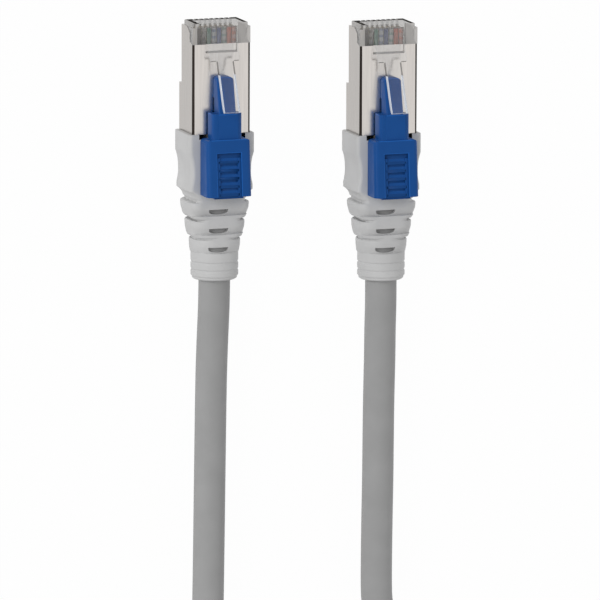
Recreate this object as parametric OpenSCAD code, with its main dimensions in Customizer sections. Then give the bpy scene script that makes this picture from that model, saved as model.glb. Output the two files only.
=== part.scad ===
// Shielded patch cable with two modular plugs, each with a sliding latch lock.
// Plugs lie latch side up: +Y points to the noses, +Z up, the boots rest on z = 0.
// One end is drawn with its nose at y = 0 and is then moved to its place.

/* [Ends] */
// Distance between the middles of the two plugs
end_spacing = 34; // [30:1:50]
// How much farther forward end a lies than end b
end_stagger = 1.8; // [0:0.1:3]

/* [Plug] */
// Width of the plug over its shield
plug_w = 11.68; // [11.4:0.02:12]
// Length from the nose to the rear edge of the shield
plug_len = 21.46; // [21:0.02:22.5]
// Height of the plug at its nose
nose_h = 6.6; // [6.4:0.05:6.8]
// Height of the plug behind the step on its contact side
rear_h = 8.0; // [7.8:0.05:8.2]
// Distance from the nose to that step
step_at = 12.2; // [11.5:0.1:13]
// Length of the narrower front edge of the nose
lead_in_len = 0.83; // [0.5:0.01:1.2]
// How much narrower the front edge is on each side
lead_in_step = 0.57; // [0.2:0.01:0.8]

/* [Shield] */
// Thickness of the shield's sheet
sheet_t = 0.25; // [0.2:0.01:0.3]
// Distance from the nose to the shield's edge on the latch side
shield_at = 4.06; // [3.8:0.02:4.3]
// Distance from the nose to the shield's edge on the contact side
contact_open = 9; // [8.4:0.1:9.6]
// How far the shield's side walls stay below the latch face at the nose
side_drop = 1.7; // [1.4:0.1:2]
// Width of the tongue that is pressed in under the latch
tongue_w = 6.4; // [6.2:0.05:6.8]
// Distance from the nose to the rear edge of the slit behind the tongue
tongue_end = 5.75; // [5.6:0.05:6]
// How far the tongue lies below the latch face
tongue_drop = 0.4; // [0.3:0.05:0.45]

/* [Contacts and wires] */
// Distance from one contact to the next
pin_pitch = 1.02; // [1:0.01:1.03]
// Thickness of a contact blade
blade_t = 0.3; // [0.25:0.01:0.35]
// Length of a contact blade
blade_len = 5.2; // [4.6:0.1:5.4]
// Depth of a blade's edge below the comb
blade_recess = 0.5; // [0.4:0.05:0.6]
// Diameter of an insulated wire
wire_d = 0.88; // [0.8:0.01:0.9]
// Width of the load bar
bar_w = 9.9; // [9.4:0.1:10]
// Height of the load bar
bar_h = 2.1; // [1.9:0.05:2.2]
// Length of the load bar
bar_len = 7.8; // [7.4:0.1:8]
// Length over which a wire pair makes one full twist
twist_len = 18; // [16:0.5:24]

/* [Latch] */
// Slope of the latch at rest
latch_angle = 23; // [21:0.1:24]
// Thickness of the latch
latch_t = 0.95; // [0.8:0.05:1]
// Width of the latch at its root
latch_base_w = 5.9; // [5.5:0.05:6]
// Distance from the hinge to the latch's shoulders
latch_base_len = 6.2; // [5.6:0.1:6.4]
// Width of the latch's lever
lever_w = 3.3; // [3:0.05:3.6]
// Distance from the hinge to the lever's tip
lever_len = 16.6; // [15.5:0.1:16.6]
// Distance from the nose to the hinge
hinge_at = 1.35; // [1.3:0.05:1.6]
// Radius of the latch's round root
root_r = 0.55; // [0.5:0.01:0.6]

/* [Latch lock] */
// Width of the finger under the latch
finger_w = 3.4; // [3:0.05:4.2]
// Height of the finger's front above the shield
finger_top = 2.3; // [1.8:0.05:2.4]
// How much higher the finger's rear end is
finger_rise = 1.6; // [1:0.1:1.6]
// Distance from the nose to the finger's front
finger_at = 10.2; // [9.8:0.1:11]
// Width of the block behind the finger
block_w = 6; // [5.7:0.05:6.6]
// Height of the block's top above the shield
block_top = 4.1; // [3.9:0.1:4.3]
// Distance from the nose to the block's front
block_at = 17.1; // [17:0.1:17.8]
// Width of the grip
grip_w = 9; // [8:0.1:10]
// Height of the grip's front above the shield
grip_top = 4.5; // [4.5:0.1:4.8]
// How much higher the grip's rear end is
grip_rise = 0.9; // [0.5:0.1:1]
// Distance from the nose to the grip's front
grip_at = 22; // [21.7:0.1:22.6]
// Length of the grip
grip_len = 11; // [10.5:0.1:11.5]
// How far the lock slides back
lock_travel = 7; // [6.5:0.1:7]
// Depth of the recess in the grip
recess_depth = 0.7; // [0.4:0.05:0.8]
// Number of ridges in the recess
ridge_count = 5; // [3:1:5]

/* [Boot] */
// Width of the boot
boot_w = 13.3; // [12.6:0.1:13.6]
// Height of the boot
boot_h = 9.2; // [9:0.1:9.6]
// How far the boot's top stands above the shield
boot_rise = 0.5; // [0.4:0.05:0.6]
// Length of the boot
boot_len = 28.74; // [28:0.02:30]
// Length of the boot's broad front part
boot_front_len = 12.7; // [12.5:0.1:13]
// Diameter of the sleeve at the boot's tail
tail_d = 9.2; // [8.8:0.1:9.2]
// Length of that sleeve
tail_len = 6; // [5.5:0.1:6.5]
// Width of the rail that carries the lock
rail_w = 4.6; // [4.2:0.1:4.8]
// Length of that rail
rail_len = 5; // [4:0.1:5.2]

/* [Cable] */
// Diameter of the cable over its jacket
cable_d = 6.1; // [5.9:0.05:6.1]
// Thickness of the jacket
jacket_t = 0.43; // [0.4:0.01:0.45]
// Outer radius of a foiled pair
pair_r = 1.0; // [0.98:0.01:1.01]
// Middle line radius of the coil's outer turns
coil_r = 36.5; // [36.5:0.1:38]
// Distance from one turn of the coil to the next, and from one layer to the next
coil_pitch = 6.6; // [6.6:0.05:6.8]

/* [Hidden] */
$fn = 48;

clear = [0.72, 0.76, 0.78, 0.6];
nickel = [0.78, 0.75, 0.72];
gold = [0.85, 0.68, 0.3];
light_grey = [0.72, 0.72, 0.72];
mid_grey = [0.58, 0.58, 0.58];
lock_blue = [0.11, 0.28, 0.55];
foil_grey = [0.82, 0.83, 0.85];

far = 1;                        // how far a cut reaches past a face
face_z = boot_h - boot_rise;    // the latch side of the shield
nose_z = face_z - nose_h;       // the contact side at the nose
rear_z = face_z - rear_h;       // the contact side behind the step
axis_z = boot_h / 2;            // the cable's middle line in the boot
end_len = plug_len + boot_len;  // one end, from nose to tail
nose_y = end_len / 2;           // the noses, so that the origin is in the middle

// Fits
slot_gap = 0.02;                // contact blade in its slot, each side
wire_gap = 0.04;                // wire in the load bar
root_gap = 0.1;                 // latch root in its groove
slide_gap = 0.15;               // lock over the shield, the boot and the rail
bore_gap = 0.05;                // cable and collar in their bores
skin_gap = 0.02;                // between the layers of the cable
strand_gap = 0.03;              // wire inside its foil
weld = 0.1;                     // how far one part of a solid reaches into the next

// Places inside the plug
bar_at = 1.2;
bar_rise = 2.5;                 // load bar above the nose's contact side
bar_z = nose_z + bar_rise;
wire_z = bar_z + bar_h / 2;
pin_count = 8;
comb_depth = 1.6;               // depth of the slots between the comb's teeth
blade_shoulder = 0.3;           // top of a blade's body below the load bar
latch_recess = 0.9;
slit_len = 0.35;
wall_bevel_h = 1.7;             // slanted front corner of the shield's side walls
wall_bevel_len = 1.1;
wall_shoulder = 0.45;           // slant up to the shield's edge on the latch side
root_depth = 0.28;              // hinge below the latch face
root_z = face_z - root_depth;
cavity_wall = 0.9;
cavity_at = bar_at + bar_len;
collar_t = 0.4;
collar_plate = 0.9;
collar_len = 6.54;
collar_end = plug_len + collar_len;
jacket_lead = 1.16;             // how far the jacket reaches past the collar's plate
jacket_at = plug_len - collar_plate - jacket_lead;
braid_t = 0.13;
foil_t = 0.04;
cuff_short = 0.6;               // how far the braid's cuff ends inside the collar
cuff_end = collar_end - cuff_short;
core_lead = 2;                  // how far the foiled pairs reach past the jacket, at both ends
core_at = jacket_at - core_lead;
core_end = collar_end + core_lead;
core_r = cable_d / 2 - jacket_t;
housing_gap = 0.4;              // between the housing and the jacket's end
housing_len = jacket_at - housing_gap;

// Places on the lock and the boot
block_round = 1.2;
grip_round = 1;
finger_round = 0.3;
lip_t = 1.0;
rail_head_h = 1.0;
rail_short = 0.3;               // rail's end inside the grip's end
rail_end = grip_at + grip_len - rail_short;
rail_at = rail_end - rail_len;
neck_d = 8.2;

module at_end(side) {
    translate([side * end_spacing / 2, nose_y - side * end_stagger / 2, 0]) children();
}

// A bar along -Y from y = -from to y = -to, w wide, between two heights
module bar(w, from, to, low, high) {
    translate([-w / 2, -to, low]) cube([w, to - from, high - low]);
}

// A round bar along -Y on the cable's middle line
module rod(r, from, to, z = axis_z) {
    translate([0, -from, z]) rotate([90, 0, 0]) cylinder(r = r, h = to - from);
}

// A side view outline [distance from nose, height] carried across the width w
module across(w, outline) {
    translate([-w / 2, 0, 0]) rotate([90, 0, 90])
        linear_extrude(w) polygon([for (p = outline) [-p[0], p[1]]]);
}

module rounded_rect(w, h, r) {
    square([w - 2 * r, h], center = true);
    square([w, h - 2 * r], center = true);
    for (x = [-1, 1], y = [-1, 1]) translate([x * (w / 2 - r), y * (h / 2 - r)]) circle(r);
}

// A slice of the boot, from - to behind the nose, w wide
module boot_slice(from, to, w, r) {
    translate([0, -from, axis_z]) rotate([90, 0, 0]) linear_extrude(to - from) rounded_rect(w, boot_h, r);
}

// ---- Tubes along a path ----

function unit(v) = v / norm(v);
function heading(p, i) =
    i == 0 ? unit(p[1] - p[0])
    : i == len(p) - 1 ? unit(p[i] - p[i - 1])
    : unit(unit(p[i + 1] - p[i]) + unit(p[i] - p[i - 1]));
function ring(p, i, r, sides) =
    let (t = heading(p, i), s = unit(cross(t, [0, 0, 1])), u = cross(s, t))
    [for (k = [0:sides - 1]) let (a = 90 + 360 * k / sides) p[i] + r * (cos(a) * s + sin(a) * u)];
function path_len(p, i = 1) = i == len(p) ? 0 : norm(p[i] - p[i - 1]) + path_len(p, i + 1);

module tube(p, d, sides) {
    n = len(p);
    points = [for (i = [0:n - 1]) each ring(p, i, d / 2, sides)];
    walls = [for (i = [0:n - 2], k = [0:sides - 1])
        let (a = i * sides + k, b = i * sides + (k + 1) % sides)
        each [[a, a + sides, b], [b, a + sides, b + sides]]];
    first_cap = [for (k = [1:sides - 2]) [0, k, k + 1]];
    last_cap = [for (k = [1:sides - 2]) let (z = (n - 1) * sides) [z, z + k + 1, z + k]];
    polyhedron(points, concat(walls, first_cap, last_cap));
}

// ---- Plug ----

function plug_outline(inset) = [
    [-far * sign(inset), nose_z + inset], [-far * sign(inset), face_z - inset],
    [plug_len + far * sign(inset), face_z - inset], [plug_len + far * sign(inset), rear_z + inset],
    [step_at + inset, rear_z + inset], [step_at + inset, nose_z + inset]];

// The sheet leaves the nose bare: its side walls start low at the lead-in, slant up and then
// run below the latch face until the sheet goes right over
function bare_nose() =
    let (wall_top = face_z - side_drop)
    [[-far, rear_z - far], [lead_in_len, rear_z - far], [lead_in_len, wall_top - wall_bevel_h],
     [lead_in_len + wall_bevel_len, wall_top], [shield_at - wall_shoulder, wall_top],
     [shield_at, face_z - sheet_t], [shield_at, face_z + far], [-far, face_z + far]];

// The tongue hangs from the sheet by its two sides, so that the pressed latch has room
module shield_tongue() {
    low = face_z - tongue_drop - sheet_t;
    bar(tongue_w + 2 * sheet_t, shield_at, tongue_end - slit_len, low, low + sheet_t);
    for (x = [-1, 1]) translate([x * (tongue_w + sheet_t) / 2, 0, 0])
        bar(sheet_t, shield_at, tongue_end - slit_len, low, face_z - sheet_t / 2);
}

module shield_sheet() {
    difference() {
        across(plug_w, plug_outline(0));
        across(plug_w - 2 * sheet_t, plug_outline(sheet_t));
        across(plug_w + far, bare_nose());
        bar(plug_w - 2 * sheet_t, -far, contact_open, nose_z - far, nose_z + 2 * sheet_t);
        bar(tongue_w, shield_at - far, tongue_end, face_z - 2 * sheet_t, face_z + far);
    }
    shield_tongue();
}

function pin_x(pin) = (pin_count / 2 + 0.5 - pin) * pin_pitch;

module contact_slots() {
    slot = blade_t + 2 * slot_gap;
    for (pin = [1:pin_count]) translate([pin_x(pin), 0, 0])
        across(slot, [[-far, nose_z - far], [-far, nose_z + comb_depth], [bar_at, nose_z + comb_depth],
            [bar_at, bar_z + far], [bar_at + blade_len + slot_gap, bar_z + far],
            [bar_at + blade_len + slot_gap, nose_z - far]]);
}

module plug_housing() {
    color(clear) difference() {
        across(plug_w, plug_outline(0));
        shield_sheet();
        bar(plug_w + far, housing_len, plug_len + far, rear_z - far, face_z + far);
        for (x = [-1, 1]) translate([x * plug_w / 2, 0, 0])
            bar(2 * lead_in_step, -far, lead_in_len, nose_z - far, face_z + far);
        contact_slots();
        bar(bar_w, bar_at, cavity_at, bar_z, bar_z + bar_h);
        bar(bar_w, cavity_at, housing_len + far, nose_z + cavity_wall, face_z - cavity_wall);
        bar(bar_w, step_at + 2 * sheet_t + cavity_wall, housing_len + far,
            rear_z + sheet_t + cavity_wall, nose_z + 2 * cavity_wall);
        // groove and recess for the latch
        translate([0, -hinge_at, root_z]) rotate([0, 90, 0])
            cylinder(r = root_r + root_gap, h = latch_base_w + 2 * root_gap, center = true);
        bar(tongue_w, hinge_at, tongue_end, face_z - latch_recess, face_z + far);
    }
}

module shield() {
    color(nickel) shield_sheet();
}

module load_bar() {
    hole = wire_d / 2 + wire_gap;
    color(clear) difference() {
        bar(bar_w, bar_at, cavity_at, bar_z, bar_z + bar_h);
        for (pin = [1:pin_count]) translate([pin_x(pin), 0, 0]) {
            rod(hole, bar_at - far, cavity_at + far, wire_z);
            bar(blade_t + 2 * slot_gap, bar_at - far, bar_at + blade_len + slot_gap, bar_z - far, wire_z);
        }
    }
}

// One blade: rounded contact edge below, three sharp tines under the wire
module contact_blade() {
    low = nose_z + blade_recess;
    tip = wire_z - wire_d / 2 - wire_gap;
    shoulder = bar_z - blade_shoulder;
    edge_r = 0.8;
    tines = 3;
    tine_pitch = blade_len / tines;
    tine_half = 0.6;
    across(blade_t, [
        for (a = [180:30:270]) [bar_at + edge_r * (1 + cos(a)), low + edge_r * (1 + sin(a))],
        [bar_at + blade_len, low], [bar_at + blade_len, shoulder],
        for (k = [tines - 1:-1:0]) let (middle = bar_at + tine_pitch * (k + 0.5))
            each [[middle + tine_half, shoulder], [middle, tip], [middle - tine_half, shoulder]],
        [bar_at, shoulder]]);
}

module contacts() {
    color(gold) for (pin = [1:pin_count]) translate([pin_x(pin), 0, 0]) contact_blade();
}

// ---- Latch ----

// The latch is drawn along -Y with its root at the origin, then tilted to its slope
module latch_flat() {
    bevel_len = 1;
    bevel_z = -latch_t / 2 + 0.35;
    rotate([0, 90, 0]) cylinder(r = root_r, h = latch_base_w, center = true);
    bar(latch_base_w, 0, latch_base_len, -latch_t / 2, latch_t / 2);
    difference() {
        bar(lever_w, latch_base_len - far, lever_len, -latch_t / 2, latch_t / 2);
        across(lever_w + far, [
            [lever_len - bevel_len, -latch_t / 2 - far], [lever_len - bevel_len, -latch_t / 2],
            [lever_len, bevel_z], [lever_len + far, bevel_z], [lever_len + far, -latch_t / 2 - far]]);
    }
}

module latch() {
    color(clear) translate([0, -hinge_at, root_z]) rotate([-latch_angle, 0, 0]) latch_flat();
}

// ---- Wires and cable core ----

// Each wire: pin, side of its pair and the height of its bow behind the load bar in wire diameters
orange = [[1, 1, -0.25], [2, -1, -0.8]];
green = [[3, 1, 1.5], [6, -1, 0.25]];
blue = [[4, 1, 0], [5, -1, -0.45]];
brown = [[7, 1, -1], [8, -1, -0.45]];

fan_steps = 6;
twist_steps = 8;
wire_sides = 6;
pair_offset = pair_r + skin_gap;
strand_r = pair_r - foil_t - strand_gap - wire_d / 2;

function twist_point(quadrant, side, y) =
    let (a = 360 * (y - core_at) / twist_len)
    [quadrant[0] * pair_offset + side * strand_r * cos(a), -y,
     axis_z + quadrant[1] * pair_offset + side * strand_r * sin(a)];
function wire_path(wire, quadrant) =
    let (start = [pin_x(wire[0]), -cavity_at, wire_z], joined = twist_point(quadrant, wire[1], core_at))
    concat(
        [[start[0], -bar_at - weld, wire_z], start],
        [for (k = [1:fan_steps]) let (s = k / fan_steps, f = s * s * (3 - 2 * s))
            [start[0] + (joined[0] - start[0]) * f, start[1] + (joined[1] - start[1]) * s,
             start[2] + (joined[2] - start[2]) * f + wire[2] * wire_d * sin(180 * s)]],
        [for (k = [1:twist_steps])
            twist_point(quadrant, wire[1], core_at + (core_end - core_at) * k / twist_steps)]);

module wire_pair(wires, quadrant, tint) {
    color(tint) for (wire = wires) tube(wire_path(wire, quadrant), wire_d, wire_sides);
}

module orange_pair() { wire_pair(orange, [1, -1], "darkorange"); }
module green_pair() { wire_pair(green, [-1, 1], "green"); }
module blue_pair() { wire_pair(blue, [1, 1], "royalblue"); }
module brown_pair() { wire_pair(brown, [-1, -1], "saddlebrown"); }

module pair_foils() {
    color(foil_grey) for (x = [-1, 1], z = [-1, 1]) translate([x * pair_offset, 0, 0]) difference() {
        rod(pair_r, core_at, core_end, axis_z + z * pair_offset);
        rod(pair_r - foil_t, core_at - far, core_end + far, axis_z + z * pair_offset);
    }
}

// The braid runs inside the jacket and folds back over the jacket's end
module braid() {
    inner = core_r - skin_gap - braid_t;
    outer = cable_d / 2 + skin_gap + braid_t;
    cuff_len = cuff_end - jacket_at;
    color("silver") translate([0, -jacket_at, axis_z]) rotate([90, 0, 0]) rotate_extrude()
        polygon([[inner, -braid_t], [outer, -braid_t], [outer, cuff_len], [outer - braid_t, cuff_len],
            [outer - braid_t, 0], [inner + braid_t, 0], [inner + braid_t, core_end - jacket_at],
            [inner, core_end - jacket_at]]);
}

module jacket_end() {
    color(mid_grey) difference() {
        rod(cable_d / 2, jacket_at, end_len);
        rod(core_r, jacket_at - far, core_end);
    }
}

collar_r = cable_d / 2 + skin_gap + braid_t + bore_gap;

module crimp_collar() {
    color("silver") difference() {
        union() {
            bar(plug_w - 2 * sheet_t, plug_len - collar_plate, plug_len, rear_z + sheet_t, face_z - sheet_t);
            rod(collar_r + collar_t, plug_len - far, collar_end);
        }
        rod(collar_r, plug_len - collar_plate - far, collar_end + far);
    }
}

// ---- Boot ----

rib_len = 3.2;
rib_gap = 0.5;
first_gap = 0.6;                // between the broad front part and the first rib
ribs_at = plug_len + boot_front_len + first_gap;
rib_w = [11.9, 10.7, 9.5];
rib_corner = [2, 3, 4];
rib_edge = 0.4;                 // straight stretch at each end of a rib
rib_slope = 0.35;               // share of a rib's overhang that its rear edge loses
tail_at = end_len - tail_len;

module rib(k) {
    from = ribs_at + k * (rib_len + rib_gap);
    narrow = (rib_w[k] - tail_d) * rib_slope;
    hull() {
        boot_slice(from, from + rib_edge, rib_w[k], rib_corner[k]);
        boot_slice(from + rib_len - rib_edge, from + rib_len, rib_w[k] - narrow, rib_corner[k]);
    }
}

module boot_tail() {
    edge = 0.8;
    r = tail_d / 2;
    groove_r = 0.14;
    groove_at = 2.4;
    groove_pitch = 1.45;
    color(light_grey) translate([0, -tail_at, axis_z]) rotate([90, 0, 0]) rotate_extrude()
        difference() {
            union() {
                square([r, tail_len - edge]);
                square([r - edge, tail_len]);
                translate([r - edge, tail_len - edge]) circle(edge);
            }
            for (k = [0:2]) translate([r, groove_at + groove_pitch * k]) circle(groove_r);
            translate([-r, 0]) square([r, tail_len]);
        }
}

module boot_front() {
    waist_r = 9;
    waist_depth = 0.55;
    waist_at = plug_len + 6.9;
    rear_step = 0.25;               // narrower behind the waist
    rear_w = boot_w - 2 * rear_step;
    corner = 0.8;
    taper_len = 1.7;
    taper_in = 1.1;
    taper_corner = 1.5;
    broad_end = plug_len + boot_front_len - taper_len;
    difference() {
        union() {
            boot_slice(plug_len, waist_at, boot_w, corner);
            boot_slice(waist_at - weld, broad_end, rear_w, corner);
            hull() {
                boot_slice(broad_end - weld, broad_end, rear_w, corner);
                boot_slice(broad_end + taper_len - weld, broad_end + taper_len,
                    rear_w - 2 * taper_in, taper_corner);
            }
        }
        for (x = [-1, 1])
            translate([x * (boot_w / 2 + waist_r - waist_depth), -waist_at, -far])
                cylinder(r = waist_r, h = boot_h + 2 * far);
    }
}

// Opening in the boot's top front edge, from which the lock's block comes out
module lock_opening() {
    opening_len = 0.9;
    opening_depth = 1.6;
    bar(grip_w + 2 * slide_gap, plug_len - far, plug_len + opening_len,
        boot_h - opening_depth, boot_h + far);
}

// The rail is T-shaped, so that the lock can slide on it and not lift off
module lock_rail() {
    neck_top = boot_h + slide_gap + lip_t + slide_gap;
    bar(rail_w - 2 * lip_t, rail_at, rail_end, boot_h - weld, neck_top + weld);
    bar(rail_w, rail_at, rail_end, neck_top, neck_top + rail_head_h);
}

// A relief slot in the top of a rib: flat front edge, curved rear edge
module relief_slot(k) {
    slot_w = 4;
    slot_len = 0.9;
    slot_in = 1.4;
    depth = 0.7;
    r = 2.7;
    from = ribs_at + k * (rib_len + rib_gap) + slot_in;
    intersection() {
        bar(slot_w, from, from + slot_len, boot_h - depth, boot_h + far);
        translate([0, r - from - slot_len, boot_h - depth]) cylinder(r = r, h = depth + far);
    }
}

module boot() {
    color(light_grey) difference() {
        union() {
            boot_front();
            lock_rail();
            rod(neck_d / 2, plug_len + boot_front_len - far, tail_at + far);
            for (k = [0:2]) rib(k);
            boot_tail();
        }
        rod(collar_r + collar_t + bore_gap, plug_len - far, collar_end + bore_gap);
        rod(cable_d / 2 + bore_gap, collar_end, end_len + far);
        for (k = [0:2]) relief_slot(k);
        lock_opening();
    }
}

// ---- Latch lock ----

lock_low = face_z + slide_gap;
grip_low = boot_h + slide_gap;
grip_end = grip_at + grip_len;
grip_z = face_z + grip_top;
function grip_height(at) = grip_z + grip_rise * (at - grip_at) / grip_len;

// A beam along -Y with rounded upper edges
module beam(w, from, to, low, high, r) {
    bar(w, from, to, low, high - r);
    bar(w - 2 * r, from, to, high - r - weld, high);
    for (x = [-1, 1]) translate([x * (w / 2 - r), 0, 0]) rod(r, from, to, high - r);
}

// The same with a top that rises towards its rear end
module ramp(w, from, to, low, high, rise, r) {
    hull() for (place = [[from, high], [to - weld, high + rise]])
        translate([0, -place[0], 0]) rotate([90, 0, 0]) linear_extrude(weld) {
            translate([-w / 2, low]) square([w, place[1] - r - low]);
            for (x = [-1, 1]) translate([x * (w / 2 - r), place[1] - r]) circle(r);
        }
}

module lock_groove() {
    neck_top = grip_low + lip_t;
    front = rail_at - lock_travel - slide_gap;
    bar(rail_w - 2 * lip_t + 2 * slide_gap, front, grip_end + far, lock_low - far, neck_top + weld);
    bar(rail_w + 2 * slide_gap, front, grip_end + far, neck_top, neck_top + rail_head_h + 2 * slide_gap);
}

// A cut along the grip's sloping top, between two distances from that top
module sloped_cut(w, from, to, low, high) {
    across(w, [[from, grip_height(from) + low], [to, grip_height(to) + low],
        [to, grip_height(to) + high], [from, grip_height(from) + high]]);
}

module grip_recess() {
    recess_w = 4.85;
    bridge_len = 2.6;
    recess_at = grip_at + bridge_len;
    ridge_pitch = 1.55;
    ridge_len = 0.5;
    ridge_h = 0.35;
    ridge_side = 0.4;
    difference() {
        sloped_cut(recess_w, recess_at, grip_end + far, -recess_depth, far);
        for (k = [1:ridge_count])
            sloped_cut(recess_w - 2 * ridge_side, recess_at + k * ridge_pitch,
                recess_at + k * ridge_pitch + ridge_len, -recess_depth - weld, ridge_h - recess_depth);
    }
}

module lock_slider() {
    lip_w = 5.8;
    thumb_lip = 0.4;
    color(lock_blue) difference() {
        union() {
            ramp(finger_w, finger_at, block_at + weld, lock_low, face_z + finger_top, finger_rise,
                finger_round);
            beam(block_w, block_at, grip_at + far, lock_low, face_z + block_top, block_round);
            ramp(grip_w, grip_at, grip_end, grip_low, grip_z, grip_rise, grip_round);
            bar(lip_w, grip_end - far, grip_end + thumb_lip, grip_low, grip_height(grip_end) - recess_depth);
        }
        lock_groove();
        grip_recess();
        // the boot's front edge passes under the block
        bar(grip_w, plug_len - lock_travel - slide_gap, grip_at + 2 * far, lock_low - far, grip_low);
    }
}

// ---- Cord ----

coil_middle = [0, -140];
coil_lean = 30;                     // angle between the leads and the Y axis
coil_turns = 3.5 + coil_lean / 180;
loop_steps = 24;
coil_sides = 6;
run_sides = 8;
low_z = cable_d / 2;
high_z = low_z + coil_pitch;

// Distance from the coil's middle and height of the cable after t turns. The turns spiral in
// on the table, and climb to the upper layer in the half turn where they start to spiral out.
function coil_radius(t) = coil_r - coil_pitch * min(t, coil_turns - t);
function climb(t) = min(1, max(0, 0.5 + 2 * (t - coil_turns / 2)));
function coil_height(t) = low_z + coil_pitch * (1 - cos(180 * climb(t))) / 2;
function coil_point(t) =
    let (a = 180 - coil_lean + 360 * t)
    [coil_middle[0] + coil_radius(t) * cos(a), coil_middle[1] + coil_radius(t) * sin(a), coil_height(t)];

loop_points = [for (k = [0:round(coil_turns * loop_steps)]) coil_point(k / loop_steps)];
coil_in = loop_points[0] + cable_d * [sin(coil_lean), cos(coil_lean), 0];
coil_out = loop_points[len(loop_points) - 1] + cable_d * [-sin(coil_lean), cos(coil_lean), 0];
coil_path = concat([coil_in], loop_points, [coil_out]);

// Routes of the free stretches, from each boot to the coil
tail_a = nose_y - end_len + end_stagger / 2;
tail_b = nose_y - end_len - end_stagger / 2;
exit_x = end_spacing / 2;
route_a = [[-exit_x, tail_a, axis_z], [-17.1, -30, 4.55], [-17.2, -36, 4.1], [-17.2, -42, 3.5],
    [-17.2, -48, 3.15], [-17.25, -54, low_z], [-17.4, -66, low_z], [-17.55, -78, low_z],
    [-17.75, -90, low_z], [-18.1, -94, low_z], [-18.85, -98, low_z], [-20.15, -101.8, low_z],
    [-21.9, -105.2, low_z], [-25.3, -110.8, low_z]];
route_b = [[exit_x, tail_b, axis_z], [17, -31, 4.55], [17.05, -36, 4.1], [17.2, -42, 3.5],
    [17.2, -48, 3.15], [17.15, -54, low_z], [17.05, -66, low_z], [16.9, -76, low_z],
    [16.85, -86.5, low_z], [17.05, -90.6, 3.3], [17.6, -94.4, 4.1], [18.65, -98.1, 5.4],
    [20.15, -101.7, 6.9], [22, -105.2, 8.3], [24, -108.6, 9.2], [26.5, -112.9, high_z]];

// Least gap of the coil to itself, between its points and points half a turn or more away
coil_gap = min([for (i = [0:len(coil_path) - 1], j = [0:len(coil_path) - 1])
    if (j - i >= loop_steps / 2) norm(coil_path[i] - coil_path[j])]) - cable_d;
run_a = concat(route_a, [coil_in]);
run_b = concat(route_b, [coil_out]);
echo(least_coil_gap = coil_gap);
echo(cord_between_boots = path_len(run_a) + path_len(coil_path) + path_len(run_b));
echo(cable_tip_to_tip = path_len(run_a) + path_len(coil_path) + path_len(run_b) + 2 * end_len);

module cable_run(route) {
    color(mid_grey) tube(route, cable_d, run_sides);
}

module cable_coil() {
    color(mid_grey) tube(coil_path, cable_d, coil_sides);
}

at_end(-1) plug_housing();  // plug_housing_a
at_end(-1) latch();  // latch_a
at_end(-1) load_bar();  // load_bar_a
at_end(-1) contacts();  // contacts_a
at_end(-1) orange_pair();  // orange_pair_a
at_end(-1) green_pair();  // green_pair_a
at_end(-1) blue_pair();  // blue_pair_a
at_end(-1) brown_pair();  // brown_pair_a
at_end(-1) pair_foils();  // pair_foils_a
at_end(-1) braid();  // braid_a
at_end(-1) jacket_end();  // jacket_end_a
at_end(-1) shield();  // shield_a
at_end(-1) crimp_collar();  // crimp_collar_a
at_end(-1) boot();  // boot_a
at_end(-1) lock_slider();  // lock_slider_a
at_end(1) plug_housing();  // plug_housing_b
at_end(1) latch();  // latch_b
at_end(1) load_bar();  // load_bar_b
at_end(1) contacts();  // contacts_b
at_end(1) orange_pair();  // orange_pair_b
at_end(1) green_pair();  // green_pair_b
at_end(1) blue_pair();  // blue_pair_b
at_end(1) brown_pair();  // brown_pair_b
at_end(1) pair_foils();  // pair_foils_b
at_end(1) braid();  // braid_b
at_end(1) jacket_end();  // jacket_end_b
at_end(1) shield();  // shield_b
at_end(1) crimp_collar();  // crimp_collar_b
at_end(1) boot();  // boot_b
at_end(1) lock_slider();  // lock_slider_b
cable_run(run_a);  // cable_run_a
cable_coil();
cable_run(run_b);  // cable_run_b
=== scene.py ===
import math
from contextlib import contextmanager

import bmesh
import bpy
from mathutils import Matrix, Vector


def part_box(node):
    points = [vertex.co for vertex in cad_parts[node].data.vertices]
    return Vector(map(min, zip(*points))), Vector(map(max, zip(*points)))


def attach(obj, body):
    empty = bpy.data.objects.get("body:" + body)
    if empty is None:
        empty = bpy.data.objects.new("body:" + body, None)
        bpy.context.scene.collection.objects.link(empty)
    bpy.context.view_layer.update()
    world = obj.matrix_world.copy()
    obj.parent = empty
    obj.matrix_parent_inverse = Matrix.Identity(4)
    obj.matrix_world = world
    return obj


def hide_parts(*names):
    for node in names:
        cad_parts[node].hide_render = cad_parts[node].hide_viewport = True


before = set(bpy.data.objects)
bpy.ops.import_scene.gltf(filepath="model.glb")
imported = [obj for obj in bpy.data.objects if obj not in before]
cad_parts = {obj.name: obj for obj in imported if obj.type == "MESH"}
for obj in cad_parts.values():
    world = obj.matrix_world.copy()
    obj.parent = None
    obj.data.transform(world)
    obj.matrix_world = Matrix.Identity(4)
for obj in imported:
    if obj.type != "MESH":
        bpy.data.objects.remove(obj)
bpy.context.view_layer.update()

# Lengths are in millimetres and one end is described from its nose: x across, back = distance
# behind the nose, z = height above the table. place() turns that into metres in the frame.
MM = 0.001
ENDS = ("a", "b")
# two lengths closer than this are the same; a normal past SQUARE looks along that axis
SAME = 0.01
SQUARE = 0.9
# a cutting tool reaches this far past what it cuts
BEYOND = 0.5


def same(a, b):
    return abs(a - b) < SAME


def node_box(node):
    low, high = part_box(node)
    return low / MM, high / MM


def nose_of(end):
    low, high = node_box("plug_housing_" + end)
    return Vector(((low.x + high.x) / 2, high.y, 0))


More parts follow.
